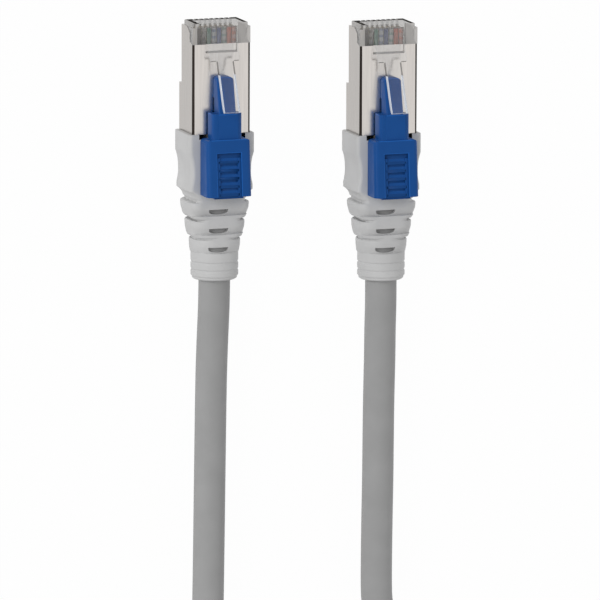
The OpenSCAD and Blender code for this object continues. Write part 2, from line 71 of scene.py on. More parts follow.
NOSE = {end: nose_of(end) for end in ENDS}
SHIELD_LOW, SHIELD_HIGH = node_box("shield_a")
BOOT_LOW, BOOT_HIGH = node_box("boot_a")
RAIL_TOP = BOOT_HIGH.z
FACE_Z = SHIELD_HIGH.z
PLUG_W = SHIELD_HIGH.x - SHIELD_LOW.x
PLUG_LEN = NOSE["a"].y - SHIELD_LOW.y
BOOT_W = BOOT_HIGH.x - BOOT_LOW.x
BOOT_H = 9.2
END_LEN = NOSE["a"].y - BOOT_LOW.y
AXIS_Z = BOOT_H / 2
CABLE_R = 3.05


def place(end, x, back, z):
    nose = NOSE[end]
    return Vector((nose.x + x, nose.y - back, z)) * MM


# ---- Camera ----

CAMERA_AZIMUTH = 19.16
CAMERA_ELEVATION = 9.635
CAMERA_ROLL = 0.143
PIXELS_PER_MM = 5.2256
IMAGE_SIZE = 600
ANCHOR_PIXEL = (221.536, 22.818)
LENS = 700
SENSOR = 36
CLIP_END = 10


def add_camera():
    azimuth, elevation = math.radians(CAMERA_AZIMUTH), math.radians(CAMERA_ELEVATION)
    roll = math.radians(CAMERA_ROLL)
    back = Vector((-math.sin(azimuth) * math.cos(elevation), math.sin(elevation),
                   math.cos(azimuth) * math.cos(elevation)))
    level = Vector((0, 1, 0)).cross(back).normalized()
    upright = back.cross(level)
    right = math.cos(roll) * level + math.sin(roll) * upright
    up = back.cross(right)
    anchor = Vector((NOSE["a"].x, NOSE["a"].y, FACE_Z))
    across = (IMAGE_SIZE / 2 - ANCHOR_PIXEL[0]) / PIXELS_PER_MM
    down = (IMAGE_SIZE / 2 - ANCHOR_PIXEL[1]) / PIXELS_PER_MM
    aim = anchor + right * across - up * down
    distance = IMAGE_SIZE / PIXELS_PER_MM * LENS / SENSOR
    camera = bpy.data.objects.new("camera", bpy.data.cameras.new("camera"))
    bpy.context.scene.collection.objects.link(camera)
    camera.data.lens = LENS
    camera.data.sensor_width = SENSOR
    camera.data.clip_end = CLIP_END
    turn = Matrix((right, up, back)).transposed().to_4x4()
    camera.matrix_world = Matrix.Translation((aim + back * distance) * MM) @ turn
    bpy.context.scene.camera = camera


add_camera()


# ---- Materials ----

def new_material(name):
    """A material with its node tree, its shader and the piece's own coordinates."""
    material = bpy.data.materials.new(name)
    material.use_nodes = True
    tree = material.node_tree
    shader = tree.nodes["Principled BSDF"]
    coords = tree.nodes.new("ShaderNodeTexCoord")
    return material, tree, shader, coords.outputs["Object"]


def noise(tree, coords, scale, detail=3, stretch=(1, 1, 1)):
    """Noise on the piece's own metres; scale is in features per metre, stretch slows an axis."""
    mapping = tree.nodes.new("ShaderNodeMapping")
    mapping.inputs["Scale"].default_value = stretch
    tree.links.new(coords, mapping.inputs["Vector"])
    texture = tree.nodes.new("ShaderNodeTexNoise")
    texture.inputs["Scale"].default_value = scale
    texture.inputs["Detail"].default_value = detail
    tree.links.new(mapping.outputs["Vector"], texture.inputs["Vector"])
    return texture.outputs["Fac"]


def blend_colours(tree, factor, low, high, socket, span=(0.3, 0.7)):
    """From one colour to the other while the factor crosses the span."""
    ramp = tree.nodes.new("ShaderNodeValToRGB")
    for stop, position, colour in zip(ramp.color_ramp.elements, span, (low, high)):
        stop.position = position
        stop.color = (*colour, 1)
    tree.links.new(factor, ramp.inputs["Fac"])
    tree.links.new(ramp.outputs["Color"], socket)


def vary(tree, factor, low, high, socket):
    """A number that goes from low to high as the factor goes from 0 to 1."""
    spread = tree.nodes.new("ShaderNodeMapRange")
    spread.inputs["To Min"].default_value = low
    spread.inputs["To Max"].default_value = high
    tree.links.new(factor, spread.inputs["Value"])
    tree.links.new(spread.outputs["Result"], socket)


def roughen(tree, shader, height, strength, depth_mm):
    """Fine relief that only changes how the light falls."""
    bump = tree.nodes.new("ShaderNodeBump")
    bump.inputs["Strength"].default_value = strength
    bump.inputs["Distance"].default_value = depth_mm * MM
    tree.links.new(height, bump.inputs["Height"])
    tree.links.new(bump.outputs["Normal"], shader.inputs["Normal"])


def scaled(tree, socket, factor):
    """A number socket times a plain number."""
    times = tree.nodes.new("ShaderNodeMath")
    times.operation = "MULTIPLY"
    times.inputs[1].default_value = factor
    tree.links.new(socket, times.inputs[0])
    return times.outputs["Value"]


def shade(colour, factor):
    return tuple(c * factor for c in colour)


MOTTLE_SCALE, MOTTLE = 180, 0.04
# how far the roughness goes below and above its middle
GLOSS_SCALE, GLOSS_BELOW, GLOSS_ABOVE = 600, 0.05, 0.06
GRAIN_STRENGTH = 0.35


def moulded_plastic(name, colour, roughness, grain, depth_mm, specular=0.5):
    """Moulded plastic: faint mottling, an uneven gloss and a fine spark-eroded grain."""
    material, tree, shader, coords = new_material(name)
    shader.inputs["Specular IOR Level"].default_value = specular
    blend_colours(tree, noise(tree, coords, MOTTLE_SCALE), shade(colour, 1 - MOTTLE),
                  shade(colour, 1 + MOTTLE), shader.inputs["Base Color"])
    vary(tree, noise(tree, coords, GLOSS_SCALE), roughness - GLOSS_BELOW, roughness + GLOSS_ABOVE,
         shader.inputs["Roughness"])
    roughen(tree, shader, noise(tree, coords, grain), GRAIN_STRENGTH, depth_mm)
    return material


STREAK_SCALE, STREAK_DETAIL, STREAK = 2600, 4, 0.05
STREAK_BELOW, STREAK_ABOVE = 0.03, 0.04
STREAK_STRENGTH, STREAK_DEPTH = 0.06, 0.01
ALONG_PLUG = (1, 0.04, 1)
NO_STREAKS = (1, 1, 1)


def sheet_metal(name, colour, roughness, streaks=ALONG_PLUG):
    """Rolled sheet: fine streaks along the rolling direction."""
    material, tree, shader, coords = new_material(name)
    shader.inputs["Metallic"].default_value = 1.0
    grain = noise(tree, coords, STREAK_SCALE, STREAK_DETAIL, streaks)
    blend_colours(tree, grain, shade(colour, 1 - STREAK), shade(colour, 1 + STREAK),
                  shader.inputs["Base Color"])
    vary(tree, grain, roughness - STREAK_BELOW, roughness + STREAK_ABOVE, shader.inputs["Roughness"])
    roughen(tree, shader, grain, STREAK_STRENGTH, STREAK_DEPTH)
    return material


CLOUD_SCALE, CLOUD = 300, 0.07
POLISH_SCALE, POLISH = 500, (0.06, 0.14)
SLANT_BLEND = 0.35


def clear_plastic(name, tint, body, facing_share, grazing_share, specular=0.5):
    """Clear moulding: see-through face on, and more of its own body colour and gloss at a slant."""
    material, tree, shader, coords = new_material(name)
    blend_colours(tree, noise(tree, coords, CLOUD_SCALE), shade(body, 1 - CLOUD), body,
                  shader.inputs["Base Color"])
    vary(tree, noise(tree, coords, POLISH_SCALE), *POLISH, shader.inputs["Roughness"])
    shader.inputs["Specular IOR Level"].default_value = specular
    clear = tree.nodes.new("ShaderNodeBsdfTransparent")
    clear.inputs["Color"].default_value = (*tint, 1)
    slant = tree.nodes.new("ShaderNodeLayerWeight")
    slant.inputs["Blend"].default_value = SLANT_BLEND
    mix = tree.nodes.new("ShaderNodeMixShader")
    vary(tree, slant.outputs["Facing"], facing_share, grazing_share, mix.inputs["Fac"])
    tree.links.new(clear.outputs["BSDF"], mix.inputs[1])
    tree.links.new(shader.outputs["BSDF"], mix.inputs[2])
    tree.links.new(mix.outputs["Shader"], tree.nodes["Material Output"].inputs["Surface"])
    return material


WIRE_ROUGHNESS = 0.35
WIRE_MOTTLE_SCALE, WIRE_MOTTLE = 400, 0.1
WIRE_GRAIN_SCALE, WIRE_GRAIN_STRENGTH, WIRE_GRAIN_DEPTH = 3000, 0.1, 0.01
RING_SCALE = 240
RING_SPAN = (0.225, 0.525)


def insulation(name, colour, ring=None, phase=0):
    """Wire insulation; a pale wire has soft rings of its pair's colour, about 1.3 mm apart."""
    material, tree, shader, coords = new_material(name)
    shader.inputs["Roughness"].default_value = WIRE_ROUGHNESS
    if ring is None:
        blend_colours(tree, noise(tree, coords, WIRE_MOTTLE_SCALE), shade(colour, 1 - WIRE_MOTTLE),
                      colour, shader.inputs["Base Color"])
    else:
        bands = tree.nodes.new("ShaderNodeTexWave")
        bands.bands_direction = "Y"
        bands.inputs["Scale"].default_value = RING_SCALE
        bands.inputs["Phase Offset"].default_value = phase
        tree.links.new(coords, bands.inputs["Vector"])
        blend_colours(tree, bands.outputs["Fac"], ring, colour, shader.inputs["Base Color"], RING_SPAN)
    roughen(tree, shader, noise(tree, coords, WIRE_GRAIN_SCALE), WIRE_GRAIN_STRENGTH,
            WIRE_GRAIN_DEPTH)
    return material


BRAID_ROUGHNESS = 0.35
BRAID_SCALE = 2200
BRAID_TURN = (0.6, 0.5, 0.785)
BRAID_DARK, BRAID_LIGHT = (0.35, 0.34, 0.33), (0.72, 0.71, 0.7)


def woven_braid(name):
    """Tinned braid: two crossing sets of fine strands."""
    material, tree, shader, coords = new_material(name)
    shader.inputs["Metallic"].default_value = 1.0
    shader.inputs["Roughness"].default_value = BRAID_ROUGHNESS
    checks = tree.nodes.new("ShaderNodeTexChecker")
    checks.inputs["Scale"].default_value = BRAID_SCALE
    turned = tree.nodes.new("ShaderNodeMapping")
    turned.inputs["Rotation"].default_value = BRAID_TURN
    tree.links.new(coords, turned.inputs["Vector"])
    tree.links.new(turned.outputs["Vector"], checks.inputs["Vector"])
    blend_colours(tree, checks.outputs["Fac"], BRAID_DARK, BRAID_LIGHT, shader.inputs["Base Color"])
    roughen(tree, shader, checks.outputs["Fac"], strength=0.5, depth_mm=0.05)
    return material


BOOT_GREY = (0.6, 0.6, 0.6)
CABLE_GREY = (0.388, 0.388, 0.388)
LOCK_BLUE = (0.0095, 0.082, 0.31)
NICKEL = (0.63, 0.595, 0.565)
# each pair has one wire in its full colour and one pale wire with a touch of it
PAIR_COLOUR = {"orange": (1.0, 0.26, 0.16), "green": (0.12, 0.34, 0.24),
               "blue": (0.06, 0.1, 0.36), "brown": (0.07, 0.045, 0.03)}
PALE_COLOUR = {"orange": (0.98, 0.62, 0.55), "green": (0.8, 0.78, 0.76),
               "blue": (0.74, 0.74, 0.8), "brown": (0.5, 0.47, 0.45)}

boot_grey = moulded_plastic("boot_grey", BOOT_GREY, roughness=0.55, grain=2500, depth_mm=0.02)
# painted shade: a near-black copy of the boot grey for the walls of the lock opening
painted_shade_opening = moulded_plastic("painted_shade_opening", shade(BOOT_GREY, 0.05), roughness=0.7, grain=2500,
                              depth_mm=0.02, specular=0.1)
# painted shade: a darker copy of the boot grey inside the relief slots
painted_shade_slot = moulded_plastic("painted_shade_slot", shade(BOOT_GREY, 0.76), roughness=0.7, grain=2500,
                            depth_mm=0.02, specular=0.1)
cable_grey = moulded_plastic("cable_grey", CABLE_GREY, roughness=0.5, grain=1800, depth_mm=0.02,
                             specular=0.1)
lock_blue = moulded_plastic("lock_blue", LOCK_BLUE, roughness=0.36, grain=2200, depth_mm=0.015,
                            specular=0.12)
# painted shade: a darker copy of the lock blue for the floor and walls of the grip's recess
painted_shade_recess = moulded_plastic("painted_shade_recess", shade(LOCK_BLUE, 0.74), roughness=0.4, grain=2200,
                            depth_mm=0.015, specular=0.12)
# painted highlight: a lighter copy of the lock blue for the rounded outer edges
painted_highlight_lock_edge = moulded_plastic("painted_highlight_lock_edge", shade(LOCK_BLUE, 1.6), roughness=0.36, grain=2200,
                            depth_mm=0.015, specular=0.12)
nickel = sheet_metal("nickel", NICKEL, roughness=0.2)
# painted shade: a darker copy of the nickel for the shield's outer side walls
nickel_side_painted_shade = sheet_metal("nickel_side_painted_shade", shade(NICKEL, 0.71), roughness=0.2)
nickel_inside = moulded_plastic("nickel_inside", (0.6, 0.585, 0.565), roughness=0.5, grain=2000,
                                depth_mm=0.01)
# painted shade: near-black nickel on the rounded folds, in place of their dark reflection
nickel_fold_painted_shade = sheet_metal("nickel_fold_painted_shade", (0.03, 0.025, 0.022), roughness=0.3)
crimp_metal = sheet_metal("crimp_metal", (0.6, 0.59, 0.57), roughness=0.3)
gold_plate = sheet_metal("gold_plate", (0.85, 0.62, 0.25), roughness=0.18)
pair_foil = sheet_metal("pair_foil", (0.8, 0.81, 0.83), roughness=0.25, streaks=NO_STREAKS)
tinned_braid = woven_braid("tinned_braid")
nose_clear = clear_plastic("nose_clear", tint=(0.96, 0.955, 0.95), body=(0.72, 0.71, 0.69),
                           facing_share=0.2, grazing_share=0.42)
# painted shade: a darker tint and body for the nose's faces that don't look up
nose_deep_painted_shade = clear_plastic("nose_deep_painted_shade", tint=(0.76, 0.75, 0.74), body=(0.44, 0.43, 0.42),
                          facing_share=0.3, grazing_share=0.66)
# painted shade: a near-black body along the nose's front edges
nose_edge_painted_shade = clear_plastic("nose_edge_painted_shade", tint=(0.4, 0.39, 0.38), body=(0.03, 0.028, 0.025),
                          facing_share=0.75, grazing_share=0.9, specular=0)
# partly the thick plastic's haze, partly painted light: a pale body beside the wires and on the sill
nose_haze_painted_light = clear_plastic("nose_haze_painted_light", tint=(0.9, 0.89, 0.88), body=(0.62, 0.6, 0.58),
                          facing_share=0.72, grazing_share=0.9)
latch_clear = clear_plastic("latch_clear", tint=(0.985, 0.99, 0.995), body=(0.85, 0.84, 0.83),
                            facing_share=0.03, grazing_share=0.3)
# painted highlight: a bright body on the lever's sides and tip
latch_painted_highlight = clear_plastic("latch_painted_highlight", tint=(0.97, 0.98, 1.0), body=(0.88, 0.93, 1.0),
                           facing_share=0.7, grazing_share=0.9)
# painted shade: dark lines at the latch's root and shoulders
latch_painted_shade_line = clear_plastic("latch_painted_shade_line", tint=(0.7, 0.69, 0.68), body=(0.12, 0.115, 0.11),
                           facing_share=0.4, grazing_share=0.62, specular=0)
bar_clear = clear_plastic("bar_clear", tint=(0.96, 0.965, 0.96), body=(0.7, 0.71, 0.7),
                          facing_share=0.08, grazing_share=0.5)


# ---- Mesh helpers ----

def add_piece(name, mesh, materials):
    piece = bpy.data.objects.new(name, mesh)
    bpy.context.scene.collection.objects.link(piece)
    mesh.materials.clear()
    for material in materials:
        mesh.materials.append(material)
    return piece


def smooth(piece, angle=35):
    piece.data.shade_smooth()
    piece.data.set_sharp_from_angle(angle=math.radians(angle))


def finish_piece(piece, body, material_slot, *nodes):
    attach(piece, body)
    if nodes:
        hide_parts(*nodes)


def loft(name, rings, materials=(), capped=True):
    """A closed skin over rings of equal point count; without caps the last ring joins the first."""
    count = len(rings[0])
    points = [point for ring in rings for point in ring]
    pairs = len(rings) - 1 if capped else len(rings)
    faces = []
    for i in range(pairs):
        here, there = i * count, (i + 1) % len(rings) * count
        for k in range(count):
            after = (k + 1) % count
            faces.append((here + k, here + after, there + after, there + k))
    if capped:
        faces.append(tuple(reversed(range(count))))
        faces.append(tuple(range((len(rings) - 1) * count, len(rings) * count)))
    mesh = bpy.data.meshes.new(name)
    mesh.from_pydata(points, [], faces)
    outward(mesh)
    return add_piece(name, mesh, materials)


@contextmanager
def edited(mesh):
    """The mesh's shape, to be changed and written back."""
    shape = bmesh.new()
    shape.from_mesh(mesh)
    yield shape
    shape.to_mesh(mesh)
    shape.free()


def outward(mesh):
    with edited(mesh) as shape:
        bmesh.ops.recalc_face_normals(shape, faces=shape.faces)


def prism(name, end, outline, low, high):
    """A plan outline of (x, back) points carried from one height to another."""
    rings = [[place(end, x, back, z) for x, back in outline] for z in (low, high)]
    return loft(name, rings)


def plan_box(x0, x1, back0, back1):
    return [(x0, back0), (x1, back0), (x1, back1), (x0, back1)]


def apply_modifiers(piece):
    graph = bpy.context.evaluated_depsgraph_get()
    mesh = bpy.data.meshes.new_from_object(piece.evaluated_get(graph))
    piece.modifiers.clear()
    old = piece.data
    piece.data = mesh
    bpy.data.meshes.remove(old)


def carve(piece, tool, operation="DIFFERENCE", finish=None):
    """Cut or join a tool shape; a finish colours the faces that the cut leaves."""
    cut = piece.modifiers.new("carve", "BOOLEAN")
    cut.operation = operation
    cut.solver = "EXACT"
    if finish is not None:
        tool.data.materials.append(finish)
        cut.material_mode = "TRANSFER"
    cut.object = tool
    apply_modifiers(piece)
    bpy.data.objects.remove(tool)


SHARP = math.radians(40)


def bevel(piece, width):
    """Round all sharp edges."""
    edge = piece.modifiers.new("edges", "BEVEL")
    edge.width = width * MM
    edge.segments = 2
    edge.limit_method = "ANGLE"
    edge.angle_limit = SHARP
    apply_modifiers(piece)


def round_edges(shape, edges, width, segments, **options):
    """Round chosen edges of a shape."""
    bmesh.ops.bevel(shape, geom=edges, offset=width * MM, segments=segments, profile=0.5,
                    affect="EDGES", **options)


def cut_across(shape, point, normal):
    """Part the faces along a plane, so that each side can have its own finish."""
    bmesh.ops.bisect_plane(shape, geom=shape.verts[:] + shape.edges[:] + shape.faces[:],
                           dist=0.001 * MM, plane_co=point, plane_no=normal)


def colour_faces(piece, finish, end):
    """Give each face the material whose number the finish function says."""
    for face in piece.data.polygons:
        face.material_index = finish(face, end)


WELD = 0.002
FLAT = math.radians(1)


def merged_copy(node, name, materials):
    """A node's shape with its loose triangles joined into flat faces."""
    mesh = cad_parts[node].data.copy()
    with edited(mesh) as shape:
        bmesh.ops.remove_doubles(shape, verts=shape.verts, dist=WELD * MM)
        bmesh.ops.dissolve_limit(shape, angle_limit=FLAT, verts=shape.verts, edges=shape.edges)
        for face in shape.faces:
            face.material_index = 0
    return add_piece(name, mesh, materials)


def tube_rings(points, radius, sides):
    """Rings square to a path, turned along it without twist."""
    rings = []
    side = None
    for i, point in enumerate(points):
        before, after = points[max(i - 1, 0)], points[min(i + 1, len(points) - 1)]
        heading = (after - before).normalized()
        if side is None:
            side = heading.cross(Vector((0, 0, 1))).normalized()
        side = (side - heading * side.dot(heading)).normalized()
        up = side.cross(heading)
        angles = [2 * math.pi * k / sides for k in range(sides)]
        rings.append([point + radius * (math.cos(a) * side + math.sin(a) * up) for a in angles])
    return rings


# ---- Cord ----

LOW_Z = CABLE_R
COIL_PITCH = 6.6
COIL_R = 36.5
HIGH_Z = LOW_Z + COIL_PITCH
COIL_MIDDLE = (0, -140)
COIL_LEAN = math.radians(30)
COIL_TURNS = 3.5 + COIL_LEAN / math.pi
POINTS_PER_TURN = 24
CORD_ROUNDNESS = 8
PATH_STEPS = 4

ROUTE_A = [(-17, -24.2, 4.6), (-17.1, -30, 4.55), (-17.2, -36, 4.1), (-17.2, -42, 3.5),
           (-17.2, -48, 3.15), (-17.25, -54, LOW_Z), (-17.4, -66, LOW_Z), (-17.55, -78, LOW_Z),
           (-17.75, -90, LOW_Z), (-18.1, -94, LOW_Z), (-18.85, -98, LOW_Z), (-20.15, -101.8, LOW_Z),
           (-21.9, -105.2, LOW_Z), (-25.3, -110.8, LOW_Z)]
ROUTE_B = [(17, -26, 4.6), (17, -31, 4.55), (17.05, -36, 4.1), (17.2, -42, 3.5), (17.2, -48, 3.15),
           (17.15, -54, LOW_Z), (17.05, -66, LOW_Z), (16.9, -76, LOW_Z), (16.85, -86.5, LOW_Z),
           (17.05, -90.6, 3.3), (17.6, -94.4, 4.1), (18.65, -98.1, 5.4), (20.15, -101.7, 6.9),
           (22, -105.2, 8.3), (24, -108.6, 9.2), (26.5, -112.9, HIGH_Z)]


def coil_point(turn):
    """The turns spiral in on the table, climb half way through, and spiral out one layer up."""
    radius = COIL_R - COIL_PITCH * min(turn, COIL_TURNS - turn)
    climb = min(1, max(0, 0.5 + 2 * (turn - COIL_TURNS / 2)))
    angle = math.pi - COIL_LEAN + 2 * math.pi * turn
    return (COIL_MIDDLE[0] + radius * math.cos(angle), COIL_MIDDLE[1] + radius * math.sin(angle),
            LOW_Z + COIL_PITCH * (1 - math.cos(math.pi * climb)) / 2)


def between(p0, p1, p2, p3, t):
    """A point of the smooth curve through p1 and p2."""
    return 0.5 * (2 * p1 + (p2 - p0) * t + (2 * p0 - 5 * p1 + 4 * p2 - p3) * t * t
                  + (3 * p1 - p0 - 3 * p2 + p3) * t ** 3)


def smooth_path(points, steps):
    """A smooth curve through the points, with this many steps from one to the next."""
    points = [Vector(p) for p in points]
    path = []
    for i in range(len(points) - 1):
        around = [points[min(max(i + k, 0), len(points) - 1)] for k in (-1, 0, 1, 2)]
        path += [between(*around, k / steps) for k in range(steps)]
    return path + [points[-1]]


def cord_path():
    """From the boot of plug a through the coil to the boot of plug b."""
    count = round(COIL_TURNS * POINTS_PER_TURN)
    coil = [coil_point(k / POINTS_PER_TURN) for k in range(count + 1)]
    return smooth_path(ROUTE_A + coil + list(reversed(ROUTE_B)), PATH_STEPS)


def path_length(points):
    return sum((b - a).length for a, b in zip(points, points[1:]))


def add_cord():
    path = cord_path()
    curve = bpy.data.curves.new("patch_cord", "CURVE")
    curve.dimensions = "3D"
    curve.bevel_depth = CABLE_R * MM
    curve.bevel_resolution = CORD_ROUNDNESS
    curve.use_fill_caps = True
    spline = curve.splines.new("POLY")
    spline.points.add(len(path) - 1)
    for point, where in zip(spline.points, path):
        point.co = (*(where * MM), 1)
    spline.use_smooth = True
    curve.materials.append(cable_grey)
    cord = bpy.data.objects.new("patch_cord", curve)
    bpy.context.scene.collection.objects.link(cord)
    finish_piece(cord, "cable_and_plugs", "grey_jacket", "cable_run_a", "cable_coil", "cable_run_b")
    path_length(path) * MM


add_cord()


# ---- Boot ----

CORNER_STEPS = 10
FRONT_STATIONS, TAIL_STEPS = 56, 80
BROAD_LEN = 12.7
BROAD_END = PLUG_LEN + BROAD_LEN
BROAD_CORNER = 0.8
FRONT_EDGE = 0.12
TAPER_LEN = 1.7
TAPER_IN = 1.1
TAPER_POWER = 2.2
TAPER_CORNER = 1.5
WAIST_AT = PLUG_LEN + 6.9
WAIST_HALF = 3.1
WAIST_DEPTH = 0.57
REAR_STEP = 0.25
FIRST_GAP = 0.6
RIB_LEN = 3.2
RIB_GAP = 0.5
RIBS_AT = BROAD_END + FIRST_GAP
RIB_HALF = (6.0, 5.4, 4.8)
RIB_CORNER = (2.0, 3.0, 4.0)
# share of the side losses that a rib no wider than the tail keeps
LEAST_LOSS = 0.35
# half width and corner of the core between the ribs: the slots are open at the sides only
CORE_HALF = (4.9, 4.3, 4.35)
CORE_CORNER = (1.2, 2.0, 4.0)
# one rib: distance from its front edge, what its sides lose, what its top loses
RIB_PROFILE = ((0, 0.3, 0), (0.12, 0.08, 0), (0.3, 0, 0), (1.2, 0.08, 0), (1.35, 0.1, 0.05),
               (2.0, 0.28, 0.36), (2.55, 0.44, 0.64), (2.62, 0.45, 0), (2.95, 0.65, 0), (3.2, 0.9, 0))
BAND_END = 2.62
TAIL_R = 4.6
TAIL_LEN = 6.0
TAIL_AT = END_LEN - TAIL_LEN
TAIL_EDGE = 1.0
GROOVES = (2.55, 4.05, 5.4)
GROOVE_HALF = 0.32
GROOVE_DEPTH = 0.16
COLLAR_BORE = 3.7
COLLAR_END = PLUG_LEN + 6.59
CABLE_BORE = 3.1


def boot_ring(end, back, half_w, half_h, corner, sink=0.0):
    """A rounded rectangle around the cable's line; its top can lie lower by sink."""
    corner = min(corner, half_w, half_h)
    ring = []
    for quarter, (sx, sz) in enumerate(((1, 1), (-1, 1), (-1, -1), (1, -1))):
        squeeze = 1 - sink / half_h if sz > 0 else 1
        for k in range(CORNER_STEPS + 1):
            angle = math.radians(90 * quarter + 90 * k / CORNER_STEPS)
            height = sz * (half_h - corner) + corner * math.sin(angle)
            ring.append(place(end, sx * (half_w - corner) + corner * math.cos(angle), back,
                              AXIS_Z + height * squeeze))
    return ring


def broad_width(back):
    """Half width of the boot's front part: parallel, drawn in at the waist, then tapered."""
    half = BOOT_W / 2
    off = abs(back - WAIST_AT) / WAIST_HALF
    if off < 1:
        half -= WAIST_DEPTH * (1 - off * off)
    if back > WAIST_AT:
        half -= REAR_STEP * min(1, (back - WAIST_AT) / WAIST_HALF)
    past = (back - (BROAD_END - TAPER_LEN)) / TAPER_LEN
    if past > 0:
        half -= TAPER_IN * (1 - (1 - min(1, past)) ** TAPER_POWER)
    return half


def broad_corner(back):
    """Corner radius of the front part, which grows along the taper."""
    past = max(0, (back - (BROAD_END - TAPER_LEN)) / TAPER_LEN)
    return BROAD_CORNER + (TAPER_CORNER - BROAD_CORNER) * min(1, past)


def front_stations():
    """The front part; a station is what boot_ring takes: back, half width, half height, corner."""
    yield PLUG_LEN, BOOT_W / 2 - FRONT_EDGE, BOOT_H / 2 - FRONT_EDGE, BROAD_CORNER - FRONT_EDGE
    for k in range(FRONT_STATIONS):
        back = PLUG_LEN + FRONT_EDGE + (BROAD_LEN - 2 * FRONT_EDGE) * k / (FRONT_STATIONS - 1)
        yield back, broad_width(back), BOOT_H / 2, broad_corner(back)
    yield BROAD_END, broad_width(BROAD_END) - FRONT_EDGE, BOOT_H / 2, TAPER_CORNER


def rib_start(k):
    return RIBS_AT + k * (RIB_LEN + RIB_GAP)


def rib_stations(k):
    """A rib: its sides bulge and fall away, its top ends in a sloping band and a small step."""
    start, half, corner = rib_start(k), RIB_HALF[k], RIB_CORNER[k]
    gap = RIB_GAP if k else FIRST_GAP
    for back in (start - gap, start):
        yield back, CORE_HALF[k], BOOT_H / 2, CORE_CORNER[k]
    share = LEAST_LOSS + (1 - LEAST_LOSS) * (half - TAIL_R) / (RIB_HALF[0] - TAIL_R)
    last = k == len(RIB_HALF) - 1
    for along, side_loss, sink in RIB_PROFILE:
        if not last or along < BAND_END:
            yield start + along, half - side_loss * share, BOOT_H / 2, corner, sink


def tail_radius(back):
    """Radius of the sleeve at the tail, with its shallow grooves and round end."""
    radius = TAIL_R
    past = back - (END_LEN - TAIL_EDGE)
    if past > 0:
        radius -= TAIL_EDGE - math.sqrt(max(0, TAIL_EDGE ** 2 - past ** 2))
    for groove in GROOVES:
        off = abs(back - TAIL_AT - groove) / GROOVE_HALF
        if off < 1:
            radius -= GROOVE_DEPTH * (1 + math.cos(math.pi * off)) / 2
    return radius


def tail_stations():
    """The round tail, which starts in the last rib's band."""
    start = rib_start(len(RIB_HALF) - 1) + BAND_END
    for k in range(TAIL_STEPS + 1):
        back = start + (END_LEN - start) * k / TAIL_STEPS
        radius = tail_radius(back)
        yield back, radius, radius, TAIL_R


def bore_stations():
    """The bore, from the tail back to the front."""
    for back, radius in ((END_LEN, CABLE_BORE), (COLLAR_END, CABLE_BORE), (COLLAR_END, COLLAR_BORE),
                         (PLUG_LEN, COLLAR_BORE)):
        yield back, radius, radius, radius


def boot_stations():
    """All round the boot's wall: outside from front to tail, then back through the bore."""
    yield from front_stations()
    for k in range(len(RIB_HALF)):
        yield from rib_stations(k)
    yield from tail_stations()
    yield from bore_stations()


SLOT_AT = 1.35
SLOT_X = -0.65
SLOT_HALF = 1.95
SLOT_LEN = 1.0
SLOT_DEPTH = 1.3
SLOT_STEPS = 12


def relief_slot(end, k):
    """D-shaped slot in the top of a rib: straight front edge, round rear edge."""
    start = rib_start(k) + SLOT_AT
    arc = [math.radians(180 * i / SLOT_STEPS) for i in range(SLOT_STEPS + 1)]
    outline = [(SLOT_X + SLOT_HALF * math.cos(a), start + SLOT_LEN * math.sin(a) ** 0.5) for a in arc]
    return prism("relief_slot", end, outline, BOOT_H - SLOT_DEPTH, BOOT_H + BEYOND)


OPENING_HALF = 4.65
OPENING_LEN = 0.9
OPENING_DEPTH = 2.4


def lock_opening(end):
    """Opening in the boot's top front edge, from which the lock's block comes out."""
    outline = plan_box(-OPENING_HALF, OPENING_HALF, PLUG_LEN - BEYOND, PLUG_LEN + OPENING_LEN)
    return prism("lock_opening", end, outline, BOOT_H - OPENING_DEPTH, BOOT_H + BEYOND)


RAIL_HALF = 2.3
RAIL_NECK_HALF = 1.3
RAIL_FROM, RAIL_TO = 27.7, 32.7
RAIL_HEAD_H = 1.0
RAIL_SINK = 0.2


def rail_outline():
    """Cross-section of the T-rail that the lock slides on."""
    head = RAIL_TOP - RAIL_HEAD_H
    half = [(RAIL_NECK_HALF, BOOT_H - RAIL_SINK), (RAIL_NECK_HALF, head), (RAIL_HALF, head),
            (RAIL_HALF, RAIL_TOP)]
    return half + [(-x, z) for x, z in reversed(half)]


def lock_rail(end):
    rings = [[place(end, x, back, z) for x, z in rail_outline()] for back in (RAIL_FROM, RAIL_TO)]
    return loft("lock_rail", rings)


def add_boot(end):
    rings = [boot_ring(end, *station) for station in boot_stations()]
    boot = loft("strain_relief_boot_" + end, rings, [boot_grey], capped=False)
    carve(boot, lock_rail(end), "UNION")
    # the opening's walls get painted shade
    carve(boot, lock_opening(end), finish=painted_shade_opening)
    for k in range(len(RIB_HALF)):
        # the slot walls get painted shade
        carve(boot, relief_slot(end, k), finish=painted_shade_slot)
    smooth(boot, angle=32)
    finish_piece(boot, "cable_and_plugs", "light_grey_boot", "boot_" + end)


# ---- Shield, housing and latch ----

FOLD_R = 0.42
FOLD_LEN = 0.5
OUTER_SKIN = 0.1


def is_fold(edge, left, right):
    """True for an outer edge that runs along the plug at one of its sides."""
    a, b = (vertex.co / MM for vertex in edge.verts)
    along = abs(a.y - b.y) > FOLD_LEN and same(a.x, b.x) and same(a.z, b.z)
    return along and same(a.z, FACE_Z) and (same(a.x, left) or same(a.x, right))


def shield_finish(face, end):
    """Plain nickel on top, painted shade (a darker copy of the nickel) on the outer side walls, satin
    inside them.
    """
    if abs(face.normal.x) < SQUARE:
        return 0
    off = face.center.x / MM - NOSE[end].x
    return 1 if off * face.normal.x > 0 and abs(off) > PLUG_W / 2 - OUTER_SKIN else 2


